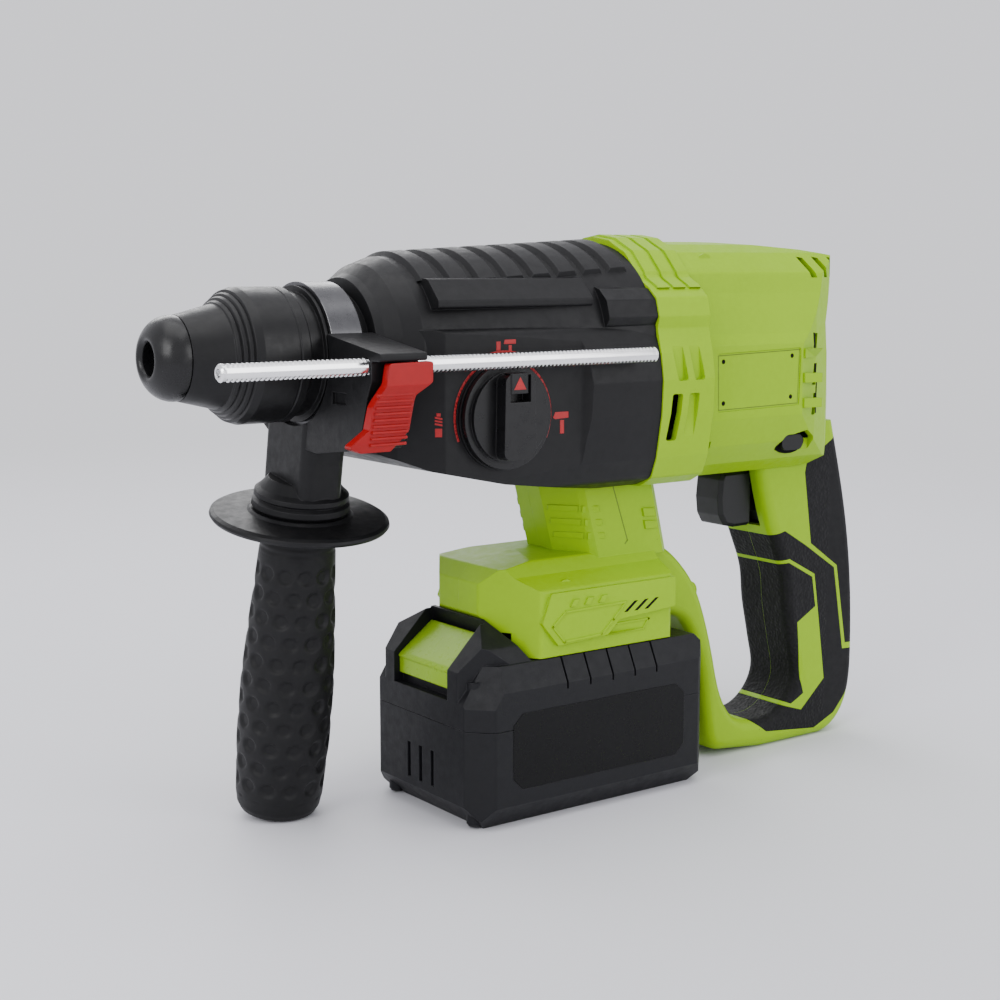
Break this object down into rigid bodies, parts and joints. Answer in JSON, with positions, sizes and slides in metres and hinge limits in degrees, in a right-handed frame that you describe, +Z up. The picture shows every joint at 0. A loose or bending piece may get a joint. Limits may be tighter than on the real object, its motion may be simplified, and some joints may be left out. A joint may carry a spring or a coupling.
{
  "type": "rotary hammer",
  "caption": "Battery rotary hammer with a D-shaped rear handle, slotted-shank chuck, mode knob, swivelling side handle and sliding depth rod.",
  "frame": {"origin": "middle of the battery's flat underside, the face the tool stands on", "axes": "+X out of the chuck, +Y the side that carries the mode knob and depth rod, +Z up"},
  "size_m": [0.3326, 0.1057, 0.2194],
  "materials": {
    "black_casing": "fine spark-eroded texture",
    "lime_casing": "fine satin texture",
    "grip_rubber": "matte overmould",
    "black_screw": "black oxide",
    "bright_steel": "ground steel",
    "dark_steel": "blackened steel",
    "gear_steel": "cut steel with grease",
    "alloy": "die cast",
    "stator_iron": "laminated iron",
    "copper": "enamelled copper",
    "board_green": "circuit board",
    "switch_black": "moulded",
    "chuck_black": "satin black",
    "cap_rubber": "satin rubber",
    "seal_rubber": "oily rubber",
    "knob_black": "semi-gloss",
    "red_plastic": "satin red",
    "yoke_black": "satin texture",
    "handle_rubber": "dimpled rubber",
    "handle_core": "satin",
    "rod_steel": "bright plated, serrated",
    "pack_black": "satin texture",
    "label_black": "blank gloss film",
    "cell_wrap": "shrink wrap",
    "terminal_brass": "plated"
  },
  "bodies": {
    "housing": {"gear_housing": "black_casing", "left_housing": "lime_casing", "right_housing": "lime_casing", "grip_covers": "grip_rubber", "blank_plates": "lime_casing", "case_screws": "black_screw", "joint_screws": "black_screw", "mechanism_frame": "alloy", "bearing_plate": "alloy", "bearings": "bright_steel", "oil_seal": "seal_rubber", "motor_stator": "stator_iron", "stator_windings": "copper", "controller_board": "board_green", "switch_module": "switch_black", "terminal_block": "switch_black", "tool_terminals": "terminal_brass", "shift_rod": "bright_steel"},
    "spindle": {"spindle": "dark_steel", "locking_balls": "bright_steel", "spindle_gear": "gear_steel", "torque_limiter_washers": "gear_steel", "chuck_collar": "chuck_black", "sleeve_spring": "bright_steel", "dust_cap": "cap_rubber"},
    "chuck_sleeve": {"chuck_sleeve": "chuck_black", "lock_ring": "dark_steel"},
    "intermediate_shaft": {"intermediate_shaft": "gear_steel", "driven_gear": "gear_steel", "wobble_hub": "gear_steel"},
    "shift_sleeve": {"shift_sleeve": "gear_steel"},
    "shift_fork": {"shift_fork": "alloy"},
    "wobble_ring": {"wobble_ring": "bright_steel"},
    "piston": {"piston": "alloy", "piston_pin": "bright_steel"},
    "striker": {"striker": "bright_steel"},
    "anvil": {"anvil": "dark_steel"},
    "motor_rotor": {"motor_rotor": "stator_iron", "cooling_fan": "switch_black"},
    "mode_knob": {"mode_knob": "knob_black"},
    "knob_release": {"knob_release": "red_plastic"},
    "trigger": {"trigger": "switch_black"},
    "direction_slider": {"direction_slider": "switch_black"},
    "side_handle": {"clamp_band": "dark_steel", "side_handle_yoke": "yoke_black", "clamp_bolt": "bright_steel"},
    "side_grip": {"side_grip": "handle_core", "side_grip_rubber": "handle_rubber", "clamp_nut": "bright_steel"},
    "depth_rod": {"depth_rod": "rod_steel"},
    "depth_lock_button": {"depth_lock_button": "red_plastic"},
    "battery": {"battery_lower_case": "pack_black", "battery_upper_case": "pack_black", "battery_labels": "label_black", "battery_cells": "cell_wrap", "cell_frames": "switch_black", "battery_board": "board_green", "battery_screws": "black_screw"},
    "battery_button": {"battery_button": "lime_casing"}
  },
  "joints": [
    {"name": "spindle_spin", "type": "hinge", "parent": "housing", "child": "spindle", "pos_m": [0.05, 0, 0.1775], "axis": [1, 0, 0], "continuous": true},
    {"name": "chuck_sleeve_pull", "type": "slide", "parent": "spindle", "child": "chuck_sleeve", "axis": [-1, 0, 0], "range_m": [0, 0.0044], "stiffness_N_per_m": 900, "springref_m": -0.004},
    {"name": "intermediate_shaft_spin", "type": "hinge", "parent": "housing", "child": "intermediate_shaft", "pos_m": [0, 0, 0.147], "axis": [1, 0, 0], "continuous": true},
    {"name": "motor_rotor_spin", "type": "hinge", "parent": "housing", "child": "motor_rotor", "pos_m": [-0.08, 0, 0.1662], "axis": [1, 0, 0], "continuous": true},
    {"name": "shift_sleeve_slide", "type": "slide", "parent": "intermediate_shaft", "child": "shift_sleeve", "axis": [1, 0, 0], "range_m": [-0.004, 0.004]},
    {"name": "shift_fork_slide", "type": "slide", "parent": "housing", "child": "shift_fork", "axis": [1, 0, 0], "range_m": [-0.004, 0.004]},
    {"name": "wobble_ring_rock", "type": "hinge", "parent": "housing", "child": "wobble_ring", "pos_m": [0.01, 0, 0.147], "axis": [0, 1, 0], "range_deg": [-10, 10]},
    {"name": "piston_slide", "type": "slide", "parent": "housing", "child": "piston", "axis": [1, 0, 0], "range_m": [-0.0053, 0.0053]},
    {"name": "striker_slide", "type": "slide", "parent": "housing", "child": "striker", "axis": [1, 0, 0], "range_m": [-0.004, 0.01]},
    {"name": "anvil_slide", "type": "slide", "parent": "spindle", "child": "anvil", "axis": [1, 0, 0], "range_m": [-0.006, 0.003]},
    {"name": "mode_knob_turn", "type": "hinge", "parent": "housing", "child": "mode_knob", "pos_m": [0.0475, 0.0395, 0.155], "axis": [0, 1, 0], "range_deg": [-90, 90]},
    {"name": "knob_release_press", "type": "slide", "parent": "mode_knob", "child": "knob_release", "axis": [0, 0, -1], "range_m": [0, 0.0025], "stiffness_N_per_m": 400, "springref_m": -0.002},
    {"name": "trigger_pull", "type": "slide", "parent": "housing", "child": "trigger", "axis": [-1, 0, 0], "range_m": [0, 0.007], "stiffness_N_per_m": 700, "springref_m": -0.004},
    {"name": "direction_slider_slide", "type": "slide", "parent": "housing", "child": "direction_slider", "axis": [0, 1, 0], "range_m": [-0.004, 0.004]},
    {"name": "side_handle_swing", "type": "hinge", "parent": "housing", "child": "side_handle", "pos_m": [0.1034, 0, 0.1775], "axis": [1, 0, 0], "range_deg": [0, 180]},
    {"name": "side_grip_turn", "type": "hinge", "parent": "side_handle", "child": "side_grip", "pos_m": [0.1034, 0, 0.1775], "axis": [0, 0.1805, 0.9836], "range_deg": [-180, 180]},
    {"name": "depth_rod_slide", "type": "slide", "parent": "side_handle", "child": "depth_rod", "axis": [1, 0, 0], "range_m": [-0.045, 0.09]},
    {"name": "depth_lock_press", "type": "slide", "parent": "side_handle", "child": "depth_lock_button", "axis": [0, -1, 0], "range_m": [0, 0.002], "stiffness_N_per_m": 500, "springref_m": -0.002},
    {"name": "battery_slide", "type": "slide", "parent": "housing", "child": "battery", "axis": [1, 0, 0], "range_m": [0, 0.02]},
    {"name": "battery_button_press", "type": "slide", "parent": "battery", "child": "battery_button", "axis": [0, 0, -1], "range_m": [0, 0.0025], "stiffness_N_per_m": 900, "springref_m": -0.002}
  ],
  "couplings": [
    {"joint": "intermediate_shaft_spin", "follows": "spindle_spin", "ratio": -3.6923},
    {"joint": "motor_rotor_spin", "follows": "spindle_spin", "ratio": 16},
    {"joint": "wobble_ring_rock", "follows": "piston_slide", "rad_per_m": 32.78},
    {"joint": "mode_knob_turn", "follows": "shift_fork_slide", "rad_per_m": 392.65},
    {"joint": "shift_sleeve_slide", "follows": "shift_fork_slide", "ratio": 1}
  ]
}
